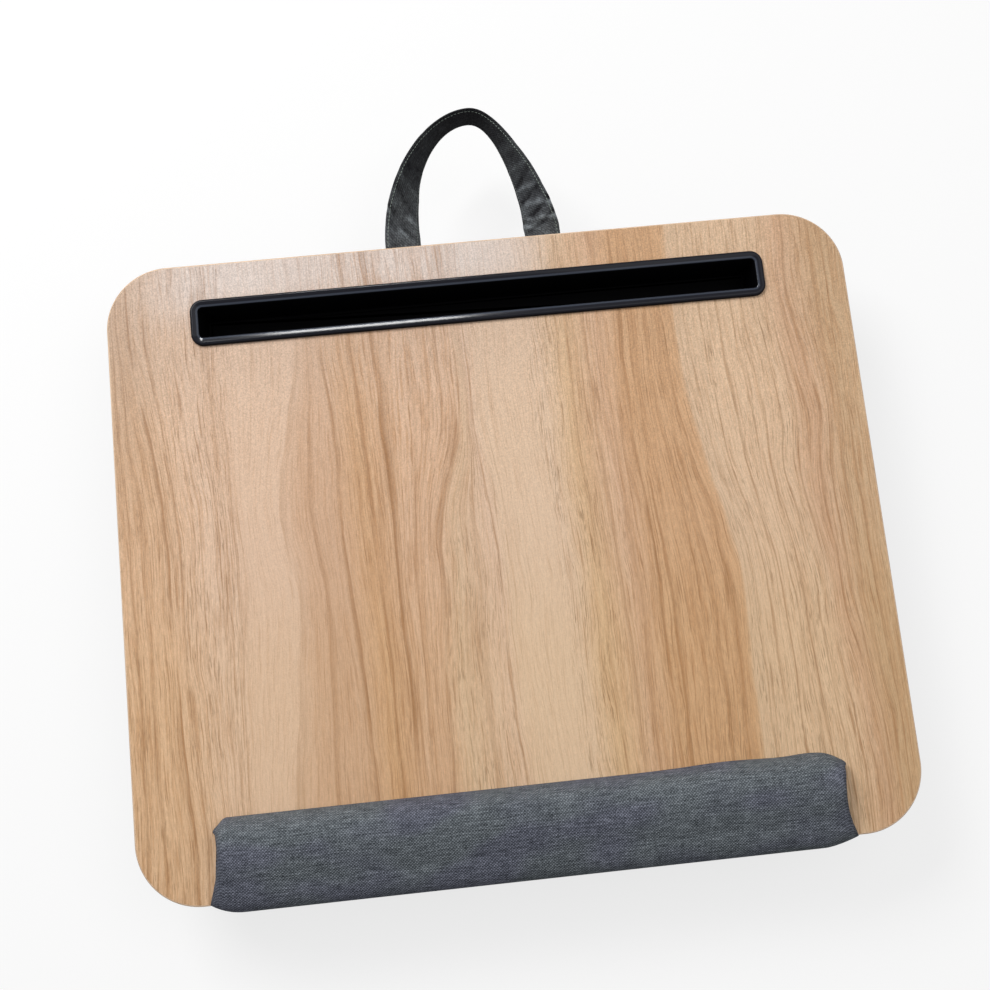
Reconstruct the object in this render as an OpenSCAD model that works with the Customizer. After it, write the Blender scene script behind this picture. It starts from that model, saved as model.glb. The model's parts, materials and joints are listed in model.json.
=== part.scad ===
// Cushioned lap desk: a laminated board with a moulded device slot, a padded wrist rest
// wrapped over its front edge, two stuffed bolsters under it and a strap handle at the rear.
// X runs left to right, Y front to rear, Z up. Z = 0 is the surface that the bolsters rest on.

/* [Board] */
// Width of the board, left to right
board_w = 400; // [360:1:480]
// Depth of the board, front to rear
board_d = 333; // [300:1:380]
// Radius of the board's corners in plan
board_r = 33; // [20:1:45]
// Thickness of the fibreboard core
core_t = 5.2; // [4.5:0.1:9]
// Thickness of the printed wood-grain foil on top
grain_t = 0.4; // [0.2:0.1:1]
// Thickness of the plain foil underneath
backing_t = 0.4; // [0.2:0.1:1]
// Thickness of the edge banding round the rim
band_t = 0.8; // [0.4:0.1:2]

/* [Device slot] */
// Distance from each side of the board to the end of the slot's mouth
slot_side = 49.3; // [40:0.1:90]
// Distance from the board's rear edge to the middle of the slot
slot_back = 33.1; // [32:0.1:60]
// Width of the slot's mouth, front to rear
slot_mouth = 16.1; // [12:0.1:20]
// Depth of the slot below the board's top face
slot_depth = 20; // [12:0.5:28]
// Radius of the mouth's corners in plan
slot_r = 2; // [1.8:0.1:4]
// How far each wall leans in from the mouth to the floor
slot_draft = 1.5; // [0.5:0.1:1.6]
// Wall thickness of the moulded tray
tray_t = 1.6; // [1.2:0.1:2]
// Width of the tray's rim, from the mouth outwards
rim_w = 4.7; // [4.4:0.1:7]
// Height of the rim's outer edge above the board
rim_h = 2.4; // [1.8:0.1:4]
// Height of the rim's inner edge above the board
rim_low = 1.4; // [0.8:0.1:1.6]
// Radius of the rim's inner edge
rim_inner_r = 0.6; // [0.3:0.1:0.8]
// Radius of the rim's outer edge
rim_outer_r = 1.4; // [0.8:0.1:1.8]
// Gap between the tray's wall and the cut-out in the board
cutout_gap = 0.4; // [0.2:0.1:0.8]
// How far each snap hook reaches under the board past the cut-out's edge
hook_grip = 0.9; // [0.4:0.1:1.2]
// Length of one snap hook along the slot
hook_len = 12; // [6:1:20]
// Height of one snap hook
hook_h = 4; // [3:0.1:5]
// Height of the blunt edge that catches under the board
hook_lip = 0.7; // [0.4:0.1:1]
// Play between a snap hook and the underside of the board
hook_play = 0.2; // [0.1:0.05:0.4]
// Number of snap hooks along each long wall
hook_count = 4; // [2:1:6]

/* [Wrist rest] */
// Distance from the start of the board's corner curve to the wrist rest's end
rest_end_gap = 7; // [4:0.5:30]
// How far the wrist rest reaches back over the board from the front edge
rest_back = 42; // [30:1:60]
// How far the wrist rest stands out in front of the board's front edge
rest_front = 4.5; // [3.5:0.1:8]
// Height of the wrist rest's crown above the board
rest_h = 16; // [12:0.5:24]
// Height of the wrist rest's rear edge above the board
rest_rear_h = 12.8; // [10:0.1:14]
// Thickness of the wrist rest's fabric cover
rest_cover_t = 1.2; // [0.8:0.1:1.6]
// Length of the cover's flap turned under the board
flap_len = 13.5; // [10:0.5:24]
// Length of the cut-back corner at the left end
rest_corner_left = 10; // [6:1:24]
// Length of the cut-back corner at the right end
rest_corner_right = 24; // [6:1:24]
// How far the ends' rear corners are cut back towards the front
rest_cut_rear = 7.5; // [4:0.5:10]
// How far the ends' front corners are cut back towards the rear
rest_cut_front = 5; // [3:0.5:6]
// How far the ends are drawn in between their corners
rest_draw = 2.2; // [0:0.1:4]
// Length over which the ends are drawn in
rest_draw_len = 40; // [30:1:60]

/* [Cushion] */
// Height of the bolsters
bolster_h = 50; // [36:1:70]
// Thickness of the bolsters' fabric cover
cover_t = 1; // [0.8:0.1:1.6]
// Thickness of the padded panel between the board and the bolsters
panel_t = 3.2; // [3.2:0.1:6]
// Distance from the board's side and rear edges to the panel's edge
panel_inset = 8; // [6:0.5:12]
// Distance from the panel's edge to the bolsters' sewn outline
bolster_margin = 9; // [8.5:0.5:12]
// Width of the valley between the bolsters at its sewn top
valley_w = 14; // [12:1:24]
// How far the bolsters swell past their sewn outline
bolster_swell = 4; // [1:0.5:5]
// Radius of the bolsters' corners in plan
bolster_r = 20; // [14:1:26]
// Diameter of the piping round the cushion
piping_d = 4; // [3:0.5:4]
// Thickness of the tape sewn along the valley
tape_t = 1.2; // [0.8:0.1:2]

/* [Handle] */
// Width of the strap
strap_w = 19.5; // [14:0.5:24]
// Thickness of the strap
strap_t = 2.2; // [1.6:0.1:2.2]
// Distance between the middles of the strap's two ends
strap_span = 77; // [60:1:110]
// How far the loop reaches out from its swing axis
strap_reach = 75.5; // [60:0.5:110]
// How far the top of the loop leans to the right
strap_lean = 3; // [0:0.5:8]

/* [Staples] */
// Length of a staple's crown
staple_w = 9; // [7:0.5:9]
// Thickness of the staple wire
wire_t = 0.5; // [0.4:0.05:0.6]
// Depth that a staple's legs reach into what they hold
staple_leg = 4; // [3:0.5:4]
// Distance between the cushion's and the flap's staples
staple_pitch = 48; // [30:1:70]

/* [Hidden] */
$fn = 48;

// Clearance between soft pieces that lie in each other
soft_gap = 0.2;
// Running gap between the strap's swinging root and what it swings past
swing_gap = 0.4;
// Distance kept between the tray's hooks and the cushion round them
tray_room = 0.7;
// Clearance all round the ends of the strap, where they lie under the board
tail_gap = 0.3;
// Clearance under the crown of a staple that lies in a pocket
wire_gap = 0.1;
// Wall left in the cushion's panel between the tray's cut-out and the strap's pockets
pocket_wall = 0.7;
// How much thinner the strap's round root is than the strap itself
root_less = 0.1;
// How far a cutting shape runs past what it cuts
past = 1;

// Heights of the stack, from the resting surface up
panel_z = bolster_h;
board_z = panel_z + panel_t;
board_t = backing_t + core_t + grain_t;
top_z = board_z + board_t;

// Y places in the board's own frame, where 0 is the board's middle
board_front = -board_d / 2;
board_rear = board_d / 2;
swing_y = board_rear + swing_gap + strap_t / 2;
swing_z = board_z - strap_t / 2;
// The part's origin is the middle of its whole footprint, from wrist rest to loop
part_front = board_front - rest_front;
part_rear = swing_y + strap_reach + strap_t / 2;
board_y = -(part_front + part_rear) / 2;

// Slot
slot_len = board_w - 2 * slot_side;
slot_y = board_rear - slot_back;
hook_reach = tray_t + cutout_gap + hook_grip;
cutout_grow = tray_t + cutout_gap;

// Cushion outlines
flap_gap = 2;
panel_w = board_w - 2 * panel_inset;
panel_front = board_front + flap_len + flap_gap;
panel_rear = board_rear - panel_inset;
panel_d = panel_rear - panel_front;
panel_y = (panel_front + panel_rear) / 2;
panel_r = board_r - panel_inset;
cushion_w = panel_w - 2 * bolster_margin;
cushion_d = panel_d - 2 * bolster_margin;
bolster_d = (cushion_d - valley_w) / 2;
bolster_step = (bolster_d + valley_w) / 2;
tray_side = slot_mouth / 2 + hook_reach + tray_room;
tray_end = slot_len / 2 + hook_reach + tray_room;
tray_bottom = top_z - slot_depth - tray_t;
// Each bolster is widest at its belly, and its underside is tucked in all round
belly_z = 0.55 * bolster_h;
belly_tuck = 0.33 * bolster_d;
// The crowned underside is cut flat where the bolster rests
rest_cut = 0.5;

// Wrist rest
rest_w = board_w - 2 * (board_r + rest_end_gap);
rest_lip = board_t + rest_cover_t;
flap_w = rest_w - 2 * max(rest_corner_left, rest_corner_right);

// Handle ends, laid under the board between the slot tray and the rear edge
tail_front = slot_y + tray_side + pocket_wall + tail_gap;
tail_rear = swing_y - strap_t / 2 - tail_gap;

// General shapes

function mix(a, b, t) = a + (b - a) * t;

function arc(centre, r, from, to, steps) =
    [for (i = [0 : steps]) let (a = mix(from, to, i / steps))
        centre + r * [cos(a), sin(a)]];

module rounded_outline(w, d, r) {
    square([w - 2 * r, d], center = true);
    square([w, d - 2 * r], center = true);
    for (x = [-1, 1], y = [-1, 1])
        translate([x * (w / 2 - r), y * (d / 2 - r)])
            circle(r);
}

module plate(w, d, r, t) {
    linear_extrude(t)
        rounded_outline(w, d, r);
}

// Carries a section round a rounded rectangle: the section's X points outwards, its Y up
module sweep_round(w, d, r) {
    for (k = [0 : 3]) {
        across = k % 2 == 0 ? w / 2 : d / 2;
        along = (k % 2 == 0 ? d : w) - 2 * r;
        rotate([0, 0, 90 * k]) {
            translate([across, along / 2, 0])
                rotate([90, 0, 0])
                    linear_extrude(along)
                        children();
            translate([across - r, along / 2, 0])
                rotate_extrude(angle = 90)
                    translate([r, 0])
                        children();
        }
    }
}

// A closed skin through rings of points, each end closed by a fan to its middle
module skin(rings) {
    n = len(rings[0]);
    last = len(rings) - 1;
    middle = function (ring) [for (a = [0 : 2]) let (s = [for (p = ring) p[a]])
        s * [for (p = ring) 1] / n];
    points = concat([for (ring = rings) each ring], [middle(rings[0]), middle(rings[last])]);
    sides = [for (k = [0 : last - 1], i = [0 : n - 1])
        let (a = k * n + i, b = k * n + (i + 1) % n)
            each [[b + n, b, a], [a + n, b + n, a]]];
    first_cap = [for (i = [0 : n - 1]) [i, (i + 1) % n, (last + 1) * n]];
    last_cap = [for (i = [0 : n - 1])
        [last * n + (i + 1) % n, last * n + i, (last + 1) * n + 1]];
    polyhedron(points = points, faces = concat(sides, first_cap, last_cap), convexity = 6);
}

// One staple: a crown lying on top of what it holds, legs pointing up into it
module staple() {
    leg = [wire_t, 1.4 * wire_t, wire_t + staple_leg];
    translate([-staple_w / 2, -leg[1] / 2, -wire_t])
        cube([staple_w, leg[1], wire_t]);
    for (side = [-1, 1])
        translate([side * (staple_w - leg[0]) / 2 - leg[0] / 2, -leg[1] / 2, -wire_t])
            cube(leg);
}

// Middles of evenly spread copies over a length, about one pitch apart
function spread(length, pitch) =
    let (count = max(2, round(length / pitch)))
        [for (i = [0 : count - 1]) length * ((i + 0.5) / count - 0.5)];

// Board

module slot_cutout(t) {
    translate([0, slot_y, -past])
        plate(slot_len + 2 * cutout_grow, slot_mouth + 2 * cutout_grow, slot_r + cutout_grow,
            t + 2 * past);
}

module board_layer(z, t) {
    translate([0, board_y, z])
        difference() {
            plate(board_w - 2 * band_t, board_d - 2 * band_t, board_r - band_t, t);
            slot_cutout(t);
        }
}

module board_core() {
    color([0.66, 0.53, 0.38])
        board_layer(board_z + backing_t, core_t);
}

module grain_foil() {
    color([0.80, 0.63, 0.47])
        board_layer(top_z - grain_t, grain_t);
}

module backing_foil() {
    color([0.87, 0.83, 0.76])
        board_layer(board_z, backing_t);
}

module edge_band() {
    color([0.85, 0.72, 0.57])
        translate([0, board_y, board_z])
            difference() {
                plate(board_w, board_d, board_r, board_t);
                translate([0, 0, -past])
                    plate(board_w - 2 * band_t, board_d - 2 * band_t, board_r - band_t,
                        board_t + 2 * past);
            }
}

// Slot tray

// Wall and rim in one section: X outwards from the mouth's edge, Y up from the board's top
module tray_section() {
    inner = [rim_inner_r, rim_low - rim_inner_r];
    outer = [rim_w - rim_outer_r, rim_h - rim_outer_r];
    across = outer - inner;
    // Direction that the rim's sloped top faces, square to the line touching both rounds
    facing = atan2(across[1], across[0]) + acos((rim_inner_r - rim_outer_r) / norm(across));
    polygon(concat(
        [[tray_t - slot_draft, -slot_depth], [-slot_draft, -slot_depth]],
        arc(inner, rim_inner_r, 180, facing, 3),
        arc(outer, rim_outer_r, facing, 0, 5),
        [[rim_w, 0], [tray_t, 0]]));
}

// A barb on the outside of the wall that catches under the board
module tray_hook() {
    top = -board_t - hook_play;
    bottom = top - hook_h;
    face = function (z) tray_t + slot_draft * z / slot_depth;
    middle = function (z) face(z) - tray_t / 3;
    rotate([90, 0, 90])
        translate([0, 0, -hook_len / 2])
            linear_extrude(hook_len)
                polygon([[middle(top), top], [hook_reach, top], [hook_reach, top - hook_lip],
                    [face(bottom), bottom], [middle(bottom), bottom]]);
}

module slot_tray() {
    color([0.10, 0.10, 0.12])
        translate([0, board_y + slot_y, top_z]) {
            sweep_round(slot_len, slot_mouth, slot_r)
                tray_section();
            floor_grow = 2 * (tray_t - slot_draft);
            translate([0, 0, -slot_depth - tray_t])
                plate(slot_len + floor_grow, slot_mouth + floor_grow,
                    slot_r + floor_grow / 2, tray_t);
            for (side = [0, 180], x = spread(slot_len, slot_len / hook_count))
                rotate([0, 0, side])
                    translate([x, slot_mouth / 2, 0])
                        tray_hook();
        }
}

// Wrist rest

// Side section at mid-length as [Y, Z] from the board's front edge and top face:
// up the rear wall, over the crown, down the nose and round the lip under the edge
rest_crown = [0.03, 0.12, 0.25, 0.4, 0.55, 0.7, 0.82, 0.91, 0.97, 1];
crown_end = 0.7;
nose_power = 3.2;
rest_section = concat(
    [[rest_back, -rest_lip], [rest_back, 0.9 * rest_rear_h]],
    [for (v = rest_crown)
        let (crown = mix(rest_rear_h, rest_h, sin(180 * min(1, v / crown_end))))
            [mix(rest_back, -rest_front, v), crown * sqrt(1 - pow(v, nose_power))]],
    [[-rest_front, -0.6 * rest_lip], [0.2 - rest_front, -0.88 * rest_lip],
        [1 - rest_front, -rest_lip]]);

// The section at one place along X. Towards the ends its corners are cut back, its top
// drops a little and its sides are drawn in. A shrink gives the surface that far inside.
corner_power = 1.4;
corner_drop = 0.12;
function rest_ring(x, shrink) =
    let (corner = x < 0 ? rest_corner_left : rest_corner_right,
        from_end = rest_w / 2 - abs(x),
        cut = from_end < corner ? pow(1 - from_end / corner, corner_power) : 0,
        draw = rest_draw * max(0, 1 - from_end / rest_draw_len),
        half = [(rest_back + rest_front) / 2, (rest_h + rest_lip) / 2],
        middle = [(rest_back - rest_front) / 2, (rest_h - rest_lip) / 2])
        [for (p = rest_section)
            let (v = (p[0] + rest_front) / (rest_back + rest_front),
                y = p[0] - cut * (rest_cut_rear * max(0, 2 * v - 1)
                    - rest_cut_front * max(0, 1 - 2 * v)),
                z = p[1] > 0 ? p[1] * (1 - corner_drop * cut) : p[1])
                [(x - sign(x) * draw * sin(180 * v)) * (1 - 2 * shrink / rest_w),
                    board_front + middle[0] + (y - middle[0]) * (1 - shrink / half[0]),
                    middle[1] + (z - middle[1]) * (1 - shrink / half[1])]];

module rest_body(shrink) {
    // Closer rings towards the ends, where the form changes
    steps = 8;
    from_end = [for (i = [0 : steps - 1]) rest_draw_len * pow(i / (steps - 1), 1.5)];
    left = [for (d = from_end) d - rest_w / 2];
    right = [for (i = [steps - 1 : -1 : 0]) rest_w / 2 - from_end[i]];
    skin([for (x = concat(left, [0], right)) rest_ring(x, shrink)]);
}

// The room that the board takes, with everything behind its front edge and below its top
module under_board() {
    translate([-board_w, board_front, -2 * rest_lip])
        cube([2 * board_w, board_d, 2 * rest_lip]);
}

module wrist_rest_foam() {
    color([0.88, 0.87, 0.80])
        translate([0, board_y, top_z])
            difference() {
                rest_body(rest_cover_t + soft_gap);
                under_board();
            }
}

module wrist_rest_cover() {
    color([0.36, 0.39, 0.43])
        translate([0, board_y, top_z]) {
            difference() {
                rest_body(0);
                rest_body(rest_cover_t);
                under_board();
            }
            // The flap starts a little in front of the board, in the lip that it belongs to
            translate([-flap_w / 2, board_front - past, -rest_lip])
                cube([flap_w, flap_len + past, rest_cover_t]);
        }
}

module wrist_rest_staples() {
    color([0.72, 0.73, 0.75])
        for (x = spread(flap_w, staple_pitch))
            translate([x, board_y + board_front + 0.6 * flap_len, top_z - rest_lip])
                staple();
}

// Cushion

module cushion_top_panel() {
    pocket = strap_t + wire_t + wire_gap;
    color([0.24, 0.25, 0.27])
        translate([0, board_y, panel_z])
            difference() {
                translate([0, panel_y, 0])
                    plate(panel_w, panel_d, panel_r, panel_t);
                // Room for the slot tray and its hooks
                translate([-tray_end, slot_y - tray_side, -past])
                    cube([2 * tray_end, 2 * tray_side, panel_t + 2 * past]);
                // Pockets for the ends of the strap
                for (side = [-1, 1])
                    translate([side * strap_span / 2 - strap_w / 2 - tail_gap,
                        tail_front - tail_gap, panel_t - pocket])
                        cube([strap_w + 2 * tail_gap, board_rear, pocket + past]);
            }
}

// One level of a bolster: a rounded rectangle pushed out by swell at the middle of its sides
function bolster_ring(half_w, half_d, r, swell, z) =
    let (corners = [[1, 1], [-1, 1], [-1, -1], [1, -1]],
        outline = [for (k = [0 : 3])
            let (c = corners[k],
                n = corners[(k + 1) % 4],
                here = arc([c[0] * (half_w - r), c[1] * (half_d - r)], r, 90 * k, 90 * k + 90, 4),
                start = [n[0] * (half_w - r), n[1] * (half_d - r)]
                    + r * [cos(90 * k + 90), sin(90 * k + 90)])
                each concat(here, [for (t = [0.2, 0.5, 0.8]) mix(here[4], start, t)])])
        [for (p = outline)
            [p[0] * (1 + swell / half_w * (1 - pow(p[1] / half_d, 2))),
                p[1] * (1 + swell / half_d * (1 - pow(p[0] / half_w, 2))), z]];

// The stuffed form of one bolster, with a crowned underside that dips below the surface
// it rests on, to be cut flat there. A shrink gives the surface that far inside.
module bolster_form(shrink) {
    half_w = cushion_w / 2 - shrink;
    half_d = bolster_d / 2 - shrink;
    lower = [for (q = [0 : 15 : 90])
        let (inset = belly_tuck * (1 - sin(q)))
            bolster_ring(half_w - inset, half_d - inset,
                min(bolster_r, half_d - inset - 1), bolster_swell * sin(q),
                mix(shrink - rest_cut, belly_z, 1 - cos(q)))];
    upper = [for (v = [0.35, 0.7, 1])
        bolster_ring(half_w, half_d, bolster_r, bolster_swell * cos(90 * v),
            mix(belly_z, bolster_h - shrink, v))];
    skin(concat(lower, upper));
}

// The hollow in the rear bolster's top that takes the slot tray
module tray_hollow(grow) {
    translate([-tray_end - grow, slot_y - tray_side - grow, tray_bottom - past - grow])
        cube([2 * (tray_end + grow), 2 * (tray_side + grow), bolster_h]);
}

module bolster_place(side) {
    translate([0, panel_y + side * bolster_step, 0])
        children();
}

module floor_cut(z) {
    translate([-board_w, -board_d, z - bolster_h])
        cube([2 * board_w, 2 * board_d, bolster_h]);
}

module bolster_cover(side) {
    color([0.27, 0.28, 0.31])
        translate([0, board_y, 0])
            difference() {
                bolster_place(side)
                    bolster_form(0);
                floor_cut(0);
                if (side > 0)
                    tray_hollow(0);
                difference() {
                    bolster_place(side)
                        bolster_form(cover_t);
                    floor_cut(cover_t);
                    if (side > 0)
                        tray_hollow(cover_t);
                }
            }
}

module bolster_fill(side) {
    inside = cover_t + soft_gap;
    color([0.93, 0.93, 0.90])
        translate([0, board_y, 0])
            difference() {
                bolster_place(side)
                    bolster_form(inside);
                floor_cut(inside);
                if (side > 0)
                    tray_hollow(inside);
            }
}

module front_bolster_cover() {
    bolster_cover(-1);
}

module rear_bolster_cover() {
    bolster_cover(1);
}

module front_bolster_fill() {
    bolster_fill(-1);
}

module rear_bolster_fill() {
    bolster_fill(1);
}

module cushion_piping() {
    // The piping's middle runs this far outside the bolsters' sewn outline
    out = piping_d / 2 + cover_t;
    color([0.20, 0.21, 0.23])
        translate([0, board_y + panel_y, panel_z - piping_d / 2 - soft_gap])
            sweep_round(cushion_w + 2 * out, cushion_d + 2 * out, bolster_r + out)
                circle(d = piping_d);
}

module valley_seam() {
    tape_w = valley_w - 4 * soft_gap;
    color([0.20, 0.21, 0.23])
        translate([-cushion_w / 2 + bolster_r, board_y + panel_y - tape_w / 2, panel_z - tape_t])
            cube([cushion_w - 2 * bolster_r, tape_w, tape_t]);
}

module cushion_staples() {
    edge = 2.2;
    sides = panel_w / 2 - edge;
    clear_of_strap = function (x) abs(abs(x) - strap_span / 2) > (strap_w + staple_w) / 2 + tail_gap;
    color([0.72, 0.73, 0.75])
        translate([0, board_y + panel_y, panel_z]) {
            for (end = [-1, 1], x = spread(panel_w - 2 * panel_r, staple_pitch))
                if (end < 0 || clear_of_strap(x))
                    translate([x, end * (panel_d / 2 - edge), 0])
                        staple();
            for (end = [-1, 1], y = spread(panel_d - 2 * panel_r, staple_pitch))
                translate([end * sides, y, 0])
                    rotate([0, 0, 90])
                        staple();
        }
}

// Handle

// Strap section: X across its width, Y through its thickness
strap_section = [for (side = [1, -1], p = [[-1, 1], [-0.3, 0.7], [-0.3, -0.7], [-1, -1]])
    [side * (strap_w / 2 + p[0] * strap_t / 2), side * p[1] * strap_t / 2]];

// Middle of the strap at an angle along the loop, 0 at the right end, 180 at the left
function loop_point(u) =
    [strap_span / 2 * cos(u) + strap_lean * pow(sin(u), 3), strap_reach * sin(u), 0];

// One section of the loop. The strap lies flat at its ends and stands on edge at the top.
flat_until = 0.14;
function loop_ring(u) =
    let (step = 0.5,
        ahead = loop_point(u + step) - loop_point(u - step),
        along = ahead / norm(ahead),
        out = [along[1], -along[0], 0],
        turn = 90 * max(0, (sin(u) - flat_until) / (1 - flat_until)))
        [for (p = strap_section)
            loop_point(u) + p[0] * (cos(turn) * out + [0, 0, sin(turn)])
                + p[1] * ([0, 0, cos(turn)] - sin(turn) * out)];

module handle_strap() {
    color([0.22, 0.23, 0.26])
        translate([0, board_y + swing_y, swing_z]) {
            skin([for (u = [0 : 4.5 : 180]) loop_ring(u)]);
            // Each end turns on a round root, centred on the swing axis
            for (side = [-1, 1])
                translate([side * strap_span / 2, 0, 0])
                    rotate([0, 90, 0])
                        cylinder(d = strap_t - root_less, h = strap_w - strap_t, center = true);
        }
}

module handle_tails() {
    color([0.22, 0.23, 0.26])
        for (side = [-1, 1])
            translate([side * strap_span / 2, board_y + tail_rear, swing_z])
                rotate([90, 0, 0])
                    linear_extrude(tail_rear - tail_front) {
                        square([strap_w - strap_t, strap_t], center = true);
                        for (edge = [-1, 1])
                            translate([edge * (strap_w - strap_t) / 2, 0])
                                circle(d = strap_t);
                    }
}

module handle_staples() {
    // Two staples across each end, where the pocket in the cushion's panel covers them
    color([0.72, 0.73, 0.75])
        for (side = [-1, 1], along = [0.2, 0.5])
            translate([side * strap_span / 2, board_y + mix(tail_front, tail_rear, along),
                swing_z - strap_t / 2])
                staple();
}

board_core();
grain_foil();
backing_foil();
edge_band();
slot_tray();
wrist_rest_foam();
wrist_rest_cover();
wrist_rest_staples();
cushion_top_panel();
front_bolster_cover();
rear_bolster_cover();
front_bolster_fill();
rear_bolster_fill();
cushion_piping();
valley_seam();
cushion_staples();
handle_strap();
handle_tails();
handle_staples();
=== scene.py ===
import json
import math

import bmesh
import bpy
from mathutils import Matrix, Vector, noise


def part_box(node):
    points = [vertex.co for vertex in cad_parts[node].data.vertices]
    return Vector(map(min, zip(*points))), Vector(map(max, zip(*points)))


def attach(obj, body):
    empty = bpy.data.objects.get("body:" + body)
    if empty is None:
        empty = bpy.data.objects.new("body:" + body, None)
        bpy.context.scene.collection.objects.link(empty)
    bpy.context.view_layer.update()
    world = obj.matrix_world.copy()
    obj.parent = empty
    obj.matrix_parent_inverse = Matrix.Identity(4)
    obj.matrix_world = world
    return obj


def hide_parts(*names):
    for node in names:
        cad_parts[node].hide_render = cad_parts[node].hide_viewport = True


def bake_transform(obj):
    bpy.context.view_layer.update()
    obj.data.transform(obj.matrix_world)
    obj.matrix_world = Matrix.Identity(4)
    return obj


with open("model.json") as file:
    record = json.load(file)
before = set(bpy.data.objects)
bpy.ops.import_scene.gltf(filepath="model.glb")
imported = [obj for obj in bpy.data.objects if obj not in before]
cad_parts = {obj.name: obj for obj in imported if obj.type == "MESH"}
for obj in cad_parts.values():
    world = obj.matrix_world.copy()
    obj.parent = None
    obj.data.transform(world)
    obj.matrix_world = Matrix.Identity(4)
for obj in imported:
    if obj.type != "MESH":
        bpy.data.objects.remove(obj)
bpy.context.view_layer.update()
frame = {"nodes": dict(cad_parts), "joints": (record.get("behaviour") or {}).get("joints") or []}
nodes = frame["nodes"]
print("frame loaded with", len(nodes), "nodes")

mm = 0.001
bandLow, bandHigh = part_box("edge_band")
boardTop = bandHigh.z
boardUnder = bandLow.z
boardFront = bandLow.y
boardRear = bandHigh.y
boardHalf = bandHigh.x


# ---- shader helpers

def tone(red, green, blue):  # a colour as a screen shows it, 0 to 255
    parts = [c / 255 for c in (red, green, blue)]
    return [c / 12.92 if c < 0.04045 else ((c + 0.055) / 1.055) ** 2.4 for c in parts] + [1]


class Wire:  # one socket of a finish, ready for sums
    def __init__(self, finish, socket):
        self.finish = finish
        self.socket = socket

    def sum(self, how, first, second):
        return self.finish.add("Math", {"operation": how}, {0: first, 1: second})

    def __add__(self, other):
        return self.sum("ADD", self, other)

    def __radd__(self, other):
        return self.sum("ADD", other, self)

    def __sub__(self, other):
        return self.sum("SUBTRACT", self, other)

    def __rsub__(self, other):
        return self.sum("SUBTRACT", other, self)

    def __mul__(self, other):
        return self.sum("MULTIPLY", self, other)

    def __rmul__(self, other):
        return self.sum("MULTIPLY", other, self)

    def __truediv__(self, other):
        return self.sum("DIVIDE", self, other)

    def __pow__(self, other):
        return self.sum("POWER", self, other)

    def wave(self):
        return self.sum("SINE", self, 0)

    def part(self):  # what is left after the whole number
        return self.sum("FRACT", self, 0)

    def size(self):
        return self.sum("ABSOLUTE", self, 0)

    def most(self, other):
        return self.sum("MAXIMUM", self, other)


class Finish:  # a material, or the world, and the nodes in it
    def __init__(self, name, owners=bpy.data.materials):
        self.material = owners.new(name)
        self.material.use_nodes = True
        self.tree = self.material.node_tree
        self.tree.nodes.clear()

    def add(self, kind, settings=None, sockets=None, out=0):
        node = self.tree.nodes.new("ShaderNode" + kind)
        for key, value in (settings or {}).items():
            if key == "stops":
                self.setStops(node.color_ramp.elements, value)
            elif key == "curve":
                node.color_ramp.interpolation = value
            else:
                setattr(node, key, value)
        for key, value in (sockets or {}).items():
            if isinstance(value, Wire):
                self.tree.links.new(value.socket, node.inputs[key])
            else:
                node.inputs[key].default_value = value
        return Wire(self, node.outputs[out] if node.outputs else None)

    def setStops(self, elements, stops):
        elements[0].position, elements[0].color = stops[0]
        elements[1].position, elements[1].color = stops[-1]
        for place, colour in stops[1:-1]:
            elements.new(place).color = colour

    def place(self):  # the piece's own coordinates, in metres
        return self.add("TexCoord", out="Object")

    def cloth(self):  # distance along and across the cloth, in metres
        return self.add("UVMap", {"uv_map": "cloth"})

    def axes(self, place):
        return [self.add("SeparateXYZ", sockets={0: place}, out=k) for k in range(3)]

    def vector(self, x, y, z):
        return self.add("CombineXYZ", sockets={0: x, 1: y, 2: z})

    def cloud(self, place, sizes, shift=0.0, detail=2.0, rough=0.5):  # sizes of its blots in mm
        moved = self.add("VectorMath", {"operation": "MULTIPLY_ADD"},
                         {0: place, 1: [1000 / s for s in sizes], 2: (shift, 1.7 * shift, 2.3 * shift)})
        return self.add("TexNoise", sockets={"Vector": moved, "Scale": 1, "Detail": detail, "Roughness": rough})

    def step(self, value, low, high):  # 0 below low, 1 above high, smooth between
        return self.add("MapRange", {"interpolation_type": "SMOOTHSTEP"}, {0: value, 1: low, 2: high})

    def ramp(self, value, stops, curve="LINEAR"):
        return self.add("ValToRGB", {"stops": stops, "curve": curve}, {0: value})

    def mix(self, share, first, second, how="MIX"):
        return self.add("Mix", {"data_type": "RGBA", "blend_type": how}, {0: share, 6: first, 7: second}, 2)

    def bump(self, height, distance, strength=1.0):
        return self.add("Bump", sockets={"Height": height, "Distance": distance, "Strength": strength})

    def looked(self):  # 1 where the camera looks, straight or by a mirror or glass
        camera, glossy, through = [self.add("LightPath", out=f"Is {k} Ray") for k in ("Camera", "Glossy", "Transmission")]
        return camera.most(glossy).most(through)

    def surface(self, sockets):
        shader = self.add("BsdfPrincipled", sockets=sockets)
        self.add("OutputMaterial", sockets={0: shader})
        return self.material


# ---- finishes

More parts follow.
